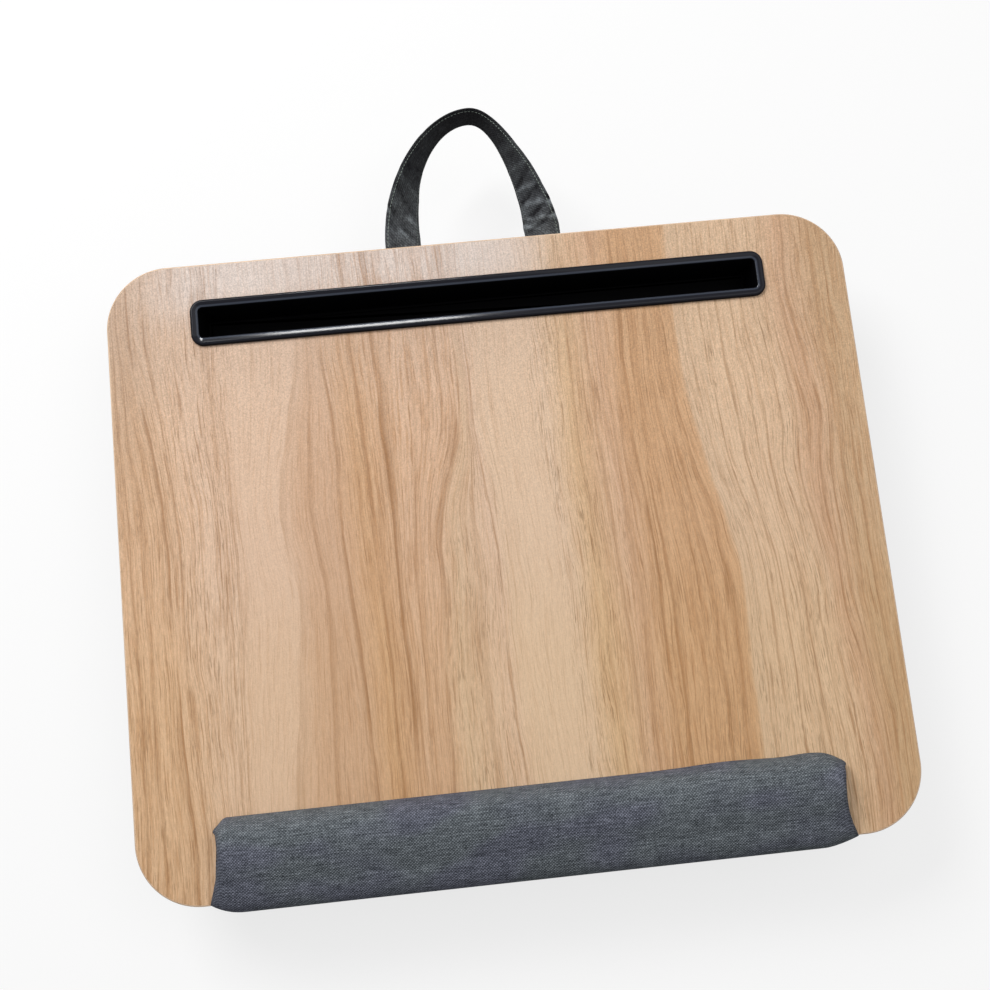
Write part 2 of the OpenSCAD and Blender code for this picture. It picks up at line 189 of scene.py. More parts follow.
oak = {
    "rose": tone(214, 176, 138), "pale": tone(216, 183, 152), "tan": tone(211, 173, 138), "amber": tone(205, 163, 121),
    "cream": tone(218, 187, 154), "straw": tone(211, 179, 144), "nut": tone(202, 168, 129),
    "fawn": tone(204, 166, 132), "honey": tone(212, 176, 134), "blond": tone(218, 185, 149),
    "sheenWashed": tone(206, 177, 151),  # painted sheen, paler towards the rear left corner
    "sheenVeil": tone(220, 211, 202),  # painted sheen, a pale veil behind the tray
    # the tone at each place across the board in mm, and how strongly growth lines and pores show there
    "bands": [(-200, "rose", 0.8, 0.6), (-178, "rose", 0.9, 0.5), (-152, "pale", 0.5, 1.0), (-141, "pale", 0.5, 0.7),
              (-136, "pale", 0.1, 0.1), (-117, "pale", 0.1, 0.1), (-105, "fawn", 0.3, 0.2), (-88, "fawn", 0.4, 0.3),
              (-72, "amber", 0.9, 0.3), (-50, "tan", 0.9, 0.3), (-38, "tan", 0.8, 0.4), (-33, "tan", 0.7, 0.4),
              (-25, "straw", 0.4, 0.7), (-8, "pale", 0.35, 0.6), (-2, "cream", 0.2, 0.2), (22, "cream", 0.05, 0.1),
              (31, "cream", 0.2, 1.0), (44, "honey", 0.4, 0.8), (62, "tan", 0.8, 0.4), (77, "amber", 1.0, 0.3),
              (104, "amber", 0.8, 0.6), (112, "amber", 0.7, 0.5), (114, "straw", 0.2, 0.6), (130, "blond", 0.3, 0.7),
              (156, "blond", 0.4, 0.75), (168, "tan", 0.8, 0.5), (186, "nut", 0.9, 0.5), (200, "nut", 0.8, 0.5)],
    # growth lines drawn out one by one: their place in mm at each station, from the rear of the board to the front
    "stations": [166, 110, 60, 20, -20, -60, -120],
    "guides": [(-190, -187, -179, -174, -174, -172, -170), (-142, -142, -141, -140, -140, -141, -141),
               (-103, -101, -112, -115, -109, -112, -118), (-90, -88, -85, -84, -81, -79, -77),
               (-61, -60, -60, -58, -57, -56, -57), (-20, -17, -19, -31, -33, -36, -39),
               (-12, -11, -10, -7, -4, -5, -1), (76, 76, 77, 78, 79, 80, 80),
               (97, 97, 100, 108, 116, 117, 115), (169, 168, 174, 170, 173, 175, 181)],
    # growth rings: place at the fourth station, how far they fade out to the left and to the right, depth
    "rings": [(-194, 1.5, 1.0, 0.6), (-187, 3.0, 0.8, 0.4), (-174, 2.6, 1.0, 0.9), (-168, 1.0, 1.6, 0.55),
              (-157, 0.8, 0.8, 0.3), (-149, 0.8, 1.0, 0.45), (-145, 0.8, 0.8, 0.35), (-140, 1.0, 0.8, 0.45),
              (-115, 0.8, 6.0, 0.30), (-99, 1.2, 3.0, 0.45), (-84, 3.4, 0.9, 0.8), (-68, 2.8, 1.0, 0.75),
              (-58, 1.0, 4.0, 0.95), (-46, 1.5, 2.0, 0.3), (-31, 5.0, 1.0, 0.65), (-17, 0.8, 2.4, 0.35),
              (-7, 0.8, 1.0, 0.6), (46, 1.0, 2.0, 0.35), (57, 2.2, 0.8, 0.5), (65, 1.2, 1.4, 0.35),
              (76, 2.0, 0.8, 0.95), (80.5, 1.0, 1.4, 0.75), (93, 1.5, 1.0, 0.3), (99, 1.0, 1.0, 0.45),
              (107, 3.5, 0.7, 0.5), (119, 0.7, 0.8, 0.4), (126, 0.7, 0.8, 0.6), (134, 0.8, 1.0, 0.7),
              (141, 0.7, 0.8, 0.4), (146, 0.8, 0.8, 0.7), (153, 0.8, 0.8, 0.6), (160, 0.8, 1.0, 0.6), (170, 1.0, 1.6, 0.8), (176, 1.0, 1.0, 0.5),
              (183, 1.0, 2.0, 0.5), (190, 1.0, 1.0, 0.6)],
    "line": tone(142, 96, 52), "pore": tone(118, 84, 48), "shade": tone(176, 128, 84),
    "peel": 0.16 * mm, "roughness": 0.5, "shine": 0.22, "lift": [1.065, 1.09, 1.17, 1],
}


def oakLaminate():
    f = Finish("oakLaminate")
    place = f.place()
    x, y, z = f.axes(place)
    stations = [(s / 332 + 0.5) for s in reversed(oak["stations"])]
    # the guides are pulled straight, so that all that is drawn between them bends along with them
    across = x * 1000 + (f.cloud(place, (26, 90, 26), 9) - 0.5) * 7 + (f.cloud(place, (7, 40, 7), 12) - 0.5) * 2.4
    rise = (y - (boardFront + boardRear) / 2) / (boardRear - boardFront) + 0.5
    lines = []
    for guide in oak["guides"]:
        way = [(s, [(g - guide[3]) / 60 + 0.5] * 3 + [1]) for s, g in zip(stations, reversed(guide))]
        lines.append(f.ramp(rise, way, "CARDINAL") * 60 + (guide[3] - 30))
    ends = [-200.0] + [guide[3] for guide in oak["guides"]] + [200.0]
    lines = [-200.0] + lines + [200.0]
    bent = -200.0
    for k in range(len(ends) - 1):
        share = f.add("MapRange", sockets={0: across, 1: lines[k], 2: lines[k + 1]})
        bent = share * (ends[k + 1] - ends[k]) + bent
    grain = f.vector(bent / 1000, y, z)
    spot = (bent + 200) / 400
    colour = f.ramp(spot, [((p + 200) / 400, oak[name]) for p, name, lined, pored in oak["bands"]])
    lined = f.ramp(spot, [((p + 200) / 400, [s, s, s, 1]) for p, name, s, pored in oak["bands"]])
    pored = f.ramp(spot, [((p + 200) / 400, [s, s, s, 1]) for p, name, lined, s in oak["bands"]])
    # painted sheen: paler and greyer towards the rear left of the board
    sheenWash = f.step(y, 0.0, 0.12) * (1 - f.step(x, -0.01, 0.07))
    colour = f.mix(sheenWash * 0.7, colour, oak["sheenWashed"])
    # painted sheen: a pale veil on the strip behind the tray, towards the left
    sheenBehindTray = f.step(y, 0.085, 0.12) * f.step(x, -0.20, -0.145) * (1 - f.step(x, 0.0, 0.06))
    colour = f.mix(sheenBehindTray * 0.6, colour, oak["sheenVeil"])
    lined = lined * (1 - f.step(y, 0.02, 0.14) * 0.30) * (1 - f.step(y, -0.03, 0.08) * (1 - f.step(x, -0.17, -0.13)) * 0.5)
    # broad soft streaks
    broad = f.cloud(grain, (6, 200, 9), 6, 3, 0.6)
    colour = f.mix(f.step(broad, 0.44, 0.72) * lined * 0.40, colour, oak["shade"])
    # faint lines in bundles, then the rings
    phase = bent * 0.62 + f.cloud(grain, (24, 300, 24), 14, 2) * 26
    thin = f.step(phase.wave(), 0.70, 1.0) * f.step(f.cloud(grain, (14, 70, 14), 22, 1), 0.42, 0.62)
    colour = f.mix(thin * lined * 0.28, colour, oak["line"])
    strayed = bent + (f.cloud(grain, (3, 26, 3), 30) - 0.5) * 1.6
    dark = 0.0
    for spotted, before, after, depth in oak["rings"]:
        risen = f.add("MapRange", {"interpolation_type": "SMOOTHSTEP"},
                      {0: strayed, 1: spotted - before, 2: spotted, 4: depth})
        fallen = f.add("MapRange", {"interpolation_type": "SMOOTHSTEP"},
                       {0: strayed, 1: spotted, 2: spotted + after, 4: depth})
        dark = risen - fallen + dark
    dark = dark * f.step(f.cloud(place, (5, 70, 12), 51, 2), 0.28, 0.54) * (1 - f.step(y, 0.0, 0.14) * 0.35)
    colour = f.mix(dark * 0.74, colour, oak["line"])
    # straight fibres
    fibre = f.cloud(grain, (0.9, 36, 4), 31, 3, 0.7)
    colour = f.mix(f.step(fibre, 0.44, 0.66) * (0.14 + lined * 0.44), colour, oak["shade"])
    hair = f.step(f.cloud(grain, (0.6, 26, 4), 36, 1), 0.58, 0.70)
    colour = f.mix(hair * (0.10 + (lined + pored) * 0.26), colour, oak["line"])
    # pores: short dashes, each row of them a little further on than the last
    slid = f.vector(bent / 1000, y + f.cloud(place, (5, 400, 5), 61) * 0.05, z)
    pores = f.step(f.cloud(slid, (0.5, 9, 4), 41, 1), 0.60, 0.69).most(f.step(f.cloud(slid, (0.55, 18, 4), 44, 1), 0.60, 0.69))
    pores = pores * f.step(f.cloud(slid, (7, 50, 9), 47), 0.34, 0.60) * pored
    pores = pores * (1 - f.step(y, 0.0, 0.13) * 0.45) * (1 - f.step(y, -0.03, 0.08) * (1 - f.step(x, -0.17, -0.13)) * 0.4)
    colour = f.mix(pores * 0.60, colour, oak["pore"])
    # light and dark flecks of the print
    fleck = f.cloud(slid, (0.6, 4, 4), 71, 2, 0.6)
    colour = f.mix(1, colour, 1.0 + (fleck - 0.5) * (0.26 + (lined + pored) * 0.22), "MULTIPLY")
    # pressed orange-peel skin: its bump, and a colour speckle that is part print mottle and part painted glint,
    # stronger towards the rear
    peel = f.cloud(place, (0.7, 0.7, 0.7), 53, 2, 0.6)
    paintedGlint = 0.22 + f.step(y, -0.10, 0.12) * 0.75
    # painted shade: slightly darker towards the rear and along the left edge of the board
    side = (1 - f.step(x, -0.20, -0.16)) * f.step(y, -0.06, 0.05)
    paintedShade = (1 - f.step(y, 0.04, 0.08) * 0.06) * (1 - side * 0.12)
    colour = f.mix(1, colour, (1.0 + (peel - 0.5) * paintedGlint) * paintedShade, "MULTIPLY")
    # painted light: yellower towards the front, where the painted sheen of the rear falls away
    colour = f.mix(1 - f.step(y, -0.11, -0.02), colour, [1, 0.99, 0.93, 1], "MULTIPLY")
    colour = f.mix(1, colour, oak["lift"], "MULTIPLY")
    return f.surface({"Base Color": colour, "Roughness": oak["roughness"], "Specular IOR Level": oak["shine"],
                      "Normal": f.bump(peel - pores * 0.3, oak["peel"])})


band = {"colour": tone(222, 192, 162), "line": tone(176, 132, 96), "roughness": 0.5}


def edgeBandFinish():
    f = Finish("edgeBandFinish")
    run = f.cloth()
    streak = f.step(f.cloud(run, (55, 0.7, 1), 2, 3, 0.6), 0.45, 0.75)
    fine = f.cloud(run, (12, 0.3, 1), 7, 2)
    colour = f.mix(streak * 0.35 + fine * 0.10, band["colour"], band["line"])
    return f.surface({"Base Color": colour, "Roughness": band["roughness"], "Specular IOR Level": 0.3,
                      "Normal": f.bump(fine, 0.00005)})


def fibreboardFinish():
    f = Finish("fibreboardFinish")
    place = f.place()
    fluff = f.cloud(place, (0.7, 0.7, 0.25), 3, 4, 0.7)
    colour = f.mix(f.step(fluff, 0.3, 0.7), tone(142, 108, 74), tone(176, 141, 104))
    return f.surface({"Base Color": colour, "Roughness": 0.9, "Normal": f.bump(fluff, 0.0002)})


def backingFinish():
    f = Finish("backingFinish")
    place = f.place()
    mottle = f.cloud(place, (9, 9, 9), 5, 4, 0.6)
    fleck = f.step(f.cloud(place, (0.8, 2.5, 1), 11, 2), 0.62, 0.74)
    colour = f.mix(mottle * 0.5 + fleck * 0.2, tone(212, 206, 194), tone(188, 180, 166))
    return f.surface({"Base Color": colour, "Roughness": 0.72, "Normal": f.bump(mottle, 0.0001)})


slot = {"halfLong": 150.7 * mm, "halfWide": 8.05 * mm, "radius": 2 * mm, "draft": 1.5 * mm, "deep": 20 * mm,
        "wall": 1.6 * mm, "rim": 4.7 * mm, "rimHigh": 2.4 * mm, "rimLow": 1.85 * mm,
        "innerRound": 1.2 * mm, "outerRound": 1.4 * mm, "hook": 12 * mm, "hooks": 4, "hookReach": 2.9 * mm}
# the inside tone is the same black plastic painted darker, as the slot lies in shade
tray = {"rim": tone(15, 16, 25), "inside": tone(2, 2, 3), "scuff": tone(38, 40, 50), "edge": tone(60, 66, 78), "roughness": 0.6,
        "shine": 0.03, "coat": 0.22, "coatRoughness": 0.12}


def trayFinish():
    f = Finish("trayFinish")
    place = f.place()
    x, y, z = f.axes(place)
    # painted shade: below the board's top and on the rim's inner lip the plastic takes a near-black colour and no
    # coat, a matte moulding painted darker as it lies in shade; the rim's outer edge is painted darker as its contact
    # shadow on the board
    above = f.step(z, boardTop - 0.6 * mm, boardTop + 0.6 * mm)
    low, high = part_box("slot_tray")
    wayX = (x.size() - (slot["halfLong"] - slot["radius"])).most(0)
    wayY = ((y - (low.y + high.y) / 2).size() - (slot["halfWide"] - slot["radius"])).most(0)
    way = (wayX * wayX + wayY * wayY) ** 0.5 - slot["radius"]  # how far out from the mouth
    above = above * f.step(way, 0.3 * mm, 0.8 * mm) * (1 - f.step(way, 4.0 * mm, 4.6 * mm) * 0.6)
    # painted highlight: a light line along the rounded inner edge of the rim
    mouth = above * (1 - f.step(way, 1.2 * mm, 1.9 * mm))
    spark = f.cloud(place, (0.35, 0.35, 0.35), 4, 2)
    scuff = f.step(f.cloud(place, (30, 1.2, 3), 17, 3, 0.6), 0.62, 0.80)
    colour = f.mix(above, tray["inside"], f.mix(scuff * 0.3, tray["rim"], tray["scuff"]))
    colour = f.mix(mouth * 0.8, colour, tray["edge"])
    return f.surface({"Base Color": colour, "Roughness": tray["roughness"] + 0.1 * spark,
                      "Specular IOR Level": tray["shine"], "Coat Weight": above * tray["coat"] * (1 - scuff * 0.3),
                      "Coat Roughness": tray["coatRoughness"], "Normal": f.bump(spark, 0.00002)})


def clothFinish(name, spec):  # yarns of two tones, crossing over and under
    f = Finish(name)
    run = f.cloth() if spec["mapped"] else f.place()
    x, y, z = f.axes(run)
    if not spec["mapped"]:  # a stuffed piece is woven round its sides and across its ends and underside
        nx, ny, nz = f.axes(f.add("NewGeometry", out="Normal"))
        endOn = f.step(nx.size() - ny.size(), -0.1, 0.1)
        flat = f.step(nz.size(), 0.66, 0.72)
        u = x + endOn * (1 - flat) * (y - x)
        v = z + flat * (y - z)
        run = f.vector(u, v, 0)
        x, y, z = f.axes(run)
    turn = 2 * math.pi * 1000 / spec["pitch"]
    # the yarns wander a little on their way, so that the weave doesn't read as a printed net
    warpAt = x * turn + (f.cloud(run, (1.5 * spec["pitch"], spec["slub"], 1), 41, 1) - 0.5) * spec["stray"]
    weftAt = y * turn + (f.cloud(run, (spec["slub"], 1.5 * spec["pitch"], 1), 43, 1) - 0.5) * spec["stray"]
    over = warpAt.wave() * weftAt.wave()
    gap = (1 - warpAt.wave().size().most(weftAt.wave().size())) ** 2
    if spec["twill"]:
        over = over * (1 - spec["twill"]) + ((warpAt + weftAt) * 0.5).wave() * spec["twill"]
    weft = f.cloud(run, (spec["slub"], 0.5 * spec["pitch"], 1), 3, 2, 0.6)
    warp = f.cloud(run, (0.5 * spec["pitch"], 0.6 * spec["slub"], 1), 8, 2, 0.6)
    patch = f.cloud(f.place(), [spec["patchSize"]] * 3, 15, 2)
    share = 0.5 + (weft - 0.5) * spec["heather"] + (warp - 0.5) * spec["heather"] * spec["warp"]
    share = share + over * spec["relief"] - (gap - 0.06) * spec["gap"] + (patch - 0.5) * spec["patch"]
    if "foldLightShare" in spec:  # painted highlight on the ridges of its creases, painted shade in the valleys and over the top of the loop
        share = share + f.add("Attribute", {"attribute_name": "fold"}, out="Fac") * spec["foldLightShare"]
    colour = f.ramp(share, [(0.12, spec["dark"]), (0.5, spec["middle"]), (0.88, spec["light"])])
    bluer = f.step(f.cloud(f.place(), (46, 22, 40), 27, 1), 0.42, 0.66)
    colour = f.mix(bluer * spec["blue"], colour, spec["blueTone"], "MULTIPLY")
    height = over * 0.5 + weft * 0.35 + warp * 0.2
    return f.surface({"Base Color": colour, "Roughness": spec["rough"], "Specular IOR Level": spec["shine"],
                      "Normal": f.bump(height, spec["depth"])})


heather = {"mapped": True, "pitch": 1.6, "stray": 3.5, "slub": 9, "twill": 0.12, "heather": 0.95, "warp": 0.5, "relief": 0.26,
           "gap": 0.45, "patch": 0.15, "patchSize": 36, "dark": tone(50, 54, 58), "middle": tone(97, 103, 108),
           "light": tone(148, 155, 161), "blue": 0.6, "blueTone": tone(240, 230, 255), "depth": 0.0003,
           "rough": 0.95, "shine": 0.08}
cushionCloth = {"mapped": False, "pitch": 1.6, "stray": 3.5, "slub": 9, "twill": 0.12, "heather": 0.9, "warp": 0.7, "relief": 0.14,
                "gap": 0.6, "patch": 0.12, "patchSize": 36, "dark": tone(30, 31, 34), "middle": tone(60, 62, 67),
                "light": tone(96, 99, 105), "blue": 0.3, "blueTone": tone(226, 232, 255),
                "depth": 0.0003, "rough": 0.95, "shine": 0.08}
pipingCloth = dict(cushionCloth, mapped=True, pitch=0.9, twill=0.7, middle=tone(44, 46, 50), light=tone(72, 75, 80))
# the strap's small, strong patches are part cloth mottle and part painted highlights on its crinkles
strapCloth = {"mapped": True, "pitch": 0.9, "stray": 2.0, "slub": 4, "twill": 0.6, "heather": 0.8, "warp": 0.7, "relief": 0.10,
              "gap": 0.0, "patch": 0.4, "patchSize": 7, "dark": tone(22, 21, 24), "middle": tone(68, 70, 72),
              "light": tone(122, 127, 130), "blue": 0.2, "blueTone": tone(236, 236, 250), "depth": 0.00018,
              "rough": 0.9, "shine": 0.1, "foldLightShare": 0.42}


def threadFinish(name, colour, dark):
    f = Finish(name)
    run = f.place()
    ply = f.cloud(run, (0.25, 0.25, 0.25), 6, 2)
    return f.surface({"Base Color": f.mix(ply, dark, colour), "Roughness": 0.7, "Normal": f.bump(ply, 0.0001)})


def wireFinish():
    f = Finish("wireFinish")
    drawn = f.cloud(f.place(), (0.2, 0.2, 2.5), 6, 2)
    return f.surface({"Base Color": f.mix(drawn, tone(176, 178, 182), tone(206, 208, 211)), "Metallic": 1,
                      "Roughness": 0.28 + 0.15 * drawn})


oakSheet = oakLaminate()
bandEdge = edgeBandFinish()
fibreboard = fibreboardFinish()
backing = backingFinish()
blackPlastic = trayFinish()
heatherWeave = clothFinish("heatherWeave", heather)
cushionWeave = clothFinish("cushionWeave", cushionCloth)
pipingWeave = clothFinish("pipingWeave", pipingCloth)
strapWeave = clothFinish("strapWeave", strapCloth)
edgeThread = threadFinish("edgeThread", tone(140, 150, 142), tone(98, 106, 102))
innerThread = threadFinish("innerThread", tone(84, 90, 88), tone(58, 62, 62))
stapleWire = wireFinish()
print("finishes made:", len(bpy.data.materials))


# ---- mesh helpers

def gridMesh(name, rows, ring=True, loop=False, capped=False):
    # a net of faces through rows of points, with a cloth map in metres
    high, wide = len(rows), len(rows[0])
    along = [0.0]
    for i in range(1, high + 1):
        gap = sum((rows[i % high][j] - rows[i - 1][j]).length for j in range(wide)) / wide
        along.append(along[-1] + gap)
    across = []
    for row in rows:
        run = [0.0]
        for j in range(1, wide + 1):
            run.append(run[-1] + (row[j % wide] - row[j - 1]).length)
        across.append(run)
    faces = []
    corners = []
    for i in range(high if loop else high - 1):
        for j in range(wide if ring else wide - 1):
            square = [(i, j), (i, j + 1), (i + 1, j + 1), (i + 1, j)]
            faces.append([(a % high) * wide + b % wide for a, b in square])
            corners += [(along[a], across[a % high][b]) for a, b in square]
    if capped:
        for start in (0, (high - 1) * wide):
            faces.append(list(range(start, start + wide)))
            corners += [(rows[start // wide][j].x, rows[start // wide][j].y) for j in range(wide)]
    mesh = bpy.data.meshes.new(name)
    mesh.from_pydata([p for row in rows for p in row], [], faces)
    cloth = mesh.uv_layers.new(name="cloth")
    cloth.uv.foreach_set("vector", [c for pair in corners for c in pair])
    return mesh


def tidyMesh(mesh, angle=35, merge=0.0):
    work = bmesh.new()
    work.from_mesh(mesh)
    if merge:
        bmesh.ops.remove_doubles(work, verts=work.verts, dist=merge)
    bmesh.ops.recalc_face_normals(work, faces=work.faces)
    work.to_mesh(mesh)
    work.free()
    mesh.shade_smooth()
    mesh.set_sharp_from_angle(angle=math.radians(angle))
    return mesh


def addPiece(name, mesh, finish, body="desk", replaced=(), angle=35, merge=0.0):
    tidyMesh(mesh, angle, merge)
    mesh.materials.clear()
    mesh.materials.append(finish)
    piece = bpy.data.objects.new(name, mesh)
    bpy.context.scene.collection.objects.link(piece)
    if body:
        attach(piece, body)
    if replaced:
        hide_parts(*replaced)
    return piece


def sweepRound(section, halfWide, halfDeep, radius, turns=20, pitch=0.0):
    # carries a section (out, up) round a rounded rectangle
    stations = []
    for k, (sx, sy) in enumerate([(1, 1), (-1, 1), (-1, -1), (1, -1)]):
        centre = Vector((sx * (halfWide - radius), sy * (halfDeep - radius), 0))
        for i in range(turns + 1):
            a = math.radians(90 * k + 90 * i / turns)
            stations.append((centre, Vector((math.cos(a), math.sin(a), 0))))
        if pitch:  # more stations along the straight that follows
            nx, ny = [(-1, 1), (-1, -1), (1, -1), (1, 1)][k]
            ahead = Vector((nx * (halfWide - radius), ny * (halfDeep - radius), 0))
            count = max(1, round((ahead - centre).length / pitch))
            facing = stations[-1][1]
            stations += [(centre.lerp(ahead, i / count), facing) for i in range(1, count)]
    up = Vector((0, 0, 1))
    return [[centre + facing * (radius + out) + up * z for out, z in section] for centre, facing in stations]


def arcPoints(centre, radius, start, end, steps):
    turns = [math.radians(start + (end - start) * i / steps) for i in range(steps + 1)]
    return [(centre[0] + radius * math.cos(a), centre[1] + radius * math.sin(a)) for a in turns]


def moved(rows, offset):
    return [[p + offset for p in row] for row in rows]


# ---- board

board = {"radius": 33 * mm, "band": 0.8 * mm, "arris": 0.8 * mm, "underArris": 0.5 * mm}

for name, finish in {"board_core": fibreboard, "grain_foil": oakSheet, "backing_foil": backing}.items():
    nodes[name].data.materials.clear()
    nodes[name].data.materials.append(finish)

thick = boardTop - boardUnder
bandSection = ([(-board["band"], 0.0)]
               + arcPoints((-board["underArris"], board["underArris"]), board["underArris"], 270, 360, 5)
               + arcPoints((-board["arris"], thick - board["arris"]), board["arris"], 0, 90, 8))
bandRows = sweepRound(bandSection, boardHalf, (boardRear - boardFront) / 2, board["radius"], 30)
bandRows = moved(bandRows, Vector((0, (boardRear + boardFront) / 2, boardUnder)))
addPiece("boardEdgeBand", gridMesh("boardEdgeBand", bandRows, loop=True), bandEdge,
         replaced=["edge_band"], angle=50)
print("board done")


# ---- slot tray

def slotTray():
    low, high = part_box("slot_tray")
    centre = Vector((0, (low.y + high.y) / 2, boardTop))
    s = slot
    inner = (s["innerRound"], s["rimLow"] - s["innerRound"])
    outer = (s["rim"] - s["outerRound"], s["rimHigh"] - s["outerRound"])
    span = math.hypot(outer[0] - inner[0], outer[1] - inner[1])
    facing = math.degrees(math.atan2(outer[1] - inner[1], outer[0] - inner[0])
                          + math.acos((s["innerRound"] - s["outerRound"]) / span))
    foot = 0.9 * mm  # round between wall and floor
    floorIn = -s["draft"]
    section = ([(floorIn + s["wall"], -s["deep"] - s["wall"] + 0.5 * mm), (s["wall"], -0.02 * mm),
                (s["rim"] - 0.15 * mm, -0.02 * mm), (s["rim"], 0.12 * mm)]
               + arcPoints(outer, s["outerRound"], 0, facing, 10)
               + arcPoints(inner, s["innerRound"], facing, 180, 6)
               + arcPoints((floorIn - foot + 0.06 * mm, -s["deep"] + foot), foot, 0, -90, 6)
               + [(floorIn - foot - 1 * mm, -s["deep"])])
    rows = sweepRound(section, s["halfLong"], s["halfWide"], s["radius"], 12)
    mesh = gridMesh("slotTray", rows, ring=False, loop=True)
    work = bmesh.new()
    work.from_mesh(mesh)
    verts = list(work.verts)
    wide = len(section)
    count = len(rows)
    # inner floor, underside and its rounded edge
    work.faces.new([verts[i * wide + wide - 1] for i in range(count)])
    under = []
    for i in range(count):
        p = rows[i][0]
        under.append(work.verts.new((p.x * 0.9985, p.y * 0.93, -s["deep"] - s["wall"])))
    for i in range(count):
        a, b = i, (i + 1) % count
        work.faces.new([verts[a * wide], verts[b * wide], under[b], under[a]])
    work.faces.new(under)
    # snap hooks under the board
    top = -(boardTop - boardUnder) - 0.2 * mm
    for side in (-1, 1):
        for k in range(s["hooks"]):
            x = 2 * s["halfLong"] * ((k + 0.5) / s["hooks"] - 0.5)
            lean = s["draft"] / s["deep"]
            profile = [(s["wall"] + lean * top - 0.3 * mm, top), (s["hookReach"], top),
                       (s["hookReach"], top - 0.7 * mm),
                       (s["wall"] + lean * (top - 4 * mm), top - 4 * mm),
                       (s["wall"] + lean * (top - 4 * mm) - 0.3 * mm, top - 4 * mm)]
            ends = [[work.verts.new((x + e * s["hook"] / 2, side * (s["halfWide"] + out), z))
                     for out, z in profile] for e in (-1, 1)]
            for j in range(5):
                work.faces.new([ends[0][j], ends[0][(j + 1) % 5], ends[1][(j + 1) % 5], ends[1][j]])
            work.faces.new(ends[0])
            work.faces.new(ends[1][::-1])
    work.to_mesh(mesh)
    work.free()
    mesh.transform(Matrix.Translation(centre))
    return addPiece("slotTray", mesh, blackPlastic, replaced=["slot_tray"], angle=40)


slotTray()
print("slot tray done")


# ---- wrist rest

rest = {"half": 160 * mm, "back": 42 * mm, "front": 4.5 * mm, "high": 16 * mm, "rearHigh": 12.8 * mm,
        "lip": 7.2 * mm, "drawLong": 40 * mm, "rearRound": 0.20, "endRound": 4 * mm,
        "flap": 13.5 * mm, "flapIn": 20 * mm, "flareLong": 34 * mm,
        # swells of the rear edge: place, depth, half length
        "bulges": [(100 * mm, 1.2 * mm, 24 * mm), (142 * mm, 1.0 * mm, 10 * mm)],
        # each corner cut back: how far along, how deep, and how suddenly
        "left": {"rear": (5.2 * mm, 5.4 * mm, 1.05), "front": (15 * mm, 5 * mm, 2.3), "flare": 4.4 * mm,
                 "draw": 1.4 * mm, "drawShape": 1.8, "nub": 1.1 * mm},
        "right": {"rear": (12 * mm, 4.9 * mm, 1.9), "front": (16 * mm, 4.2 * mm, 1.5), "flare": 2.5 * mm,
                  "draw": 2.5 * mm, "drawShape": 1.0, "nub": 1.0 * mm}}


def ease(t, power):  # rises steeply from 0 and levels out at 1, as a rounded edge does
    t = max(0.0, min(1.0, t))
    return (1 - (1 - t) ** power) ** (1 / power)


def cutBack(fromEnd, along, deep, power):
    return deep * (1 - fromEnd / along) ** power if fromEnd < along else 0.0


def restHeight(v, fromEnd, cut):
    crown = rest["rearHigh"] + (rest["high"] - rest["rearHigh"]) * math.sin(math.pi * min(1, v / 0.7))
    tall = crown * ease(v / rest["rearRound"], 2.1) * math.sqrt(max(0, 1 - v ** 3.2))
    return tall * ease(fromEnd / rest["endRound"], 2.4) * (1 - 0.12 * cut)


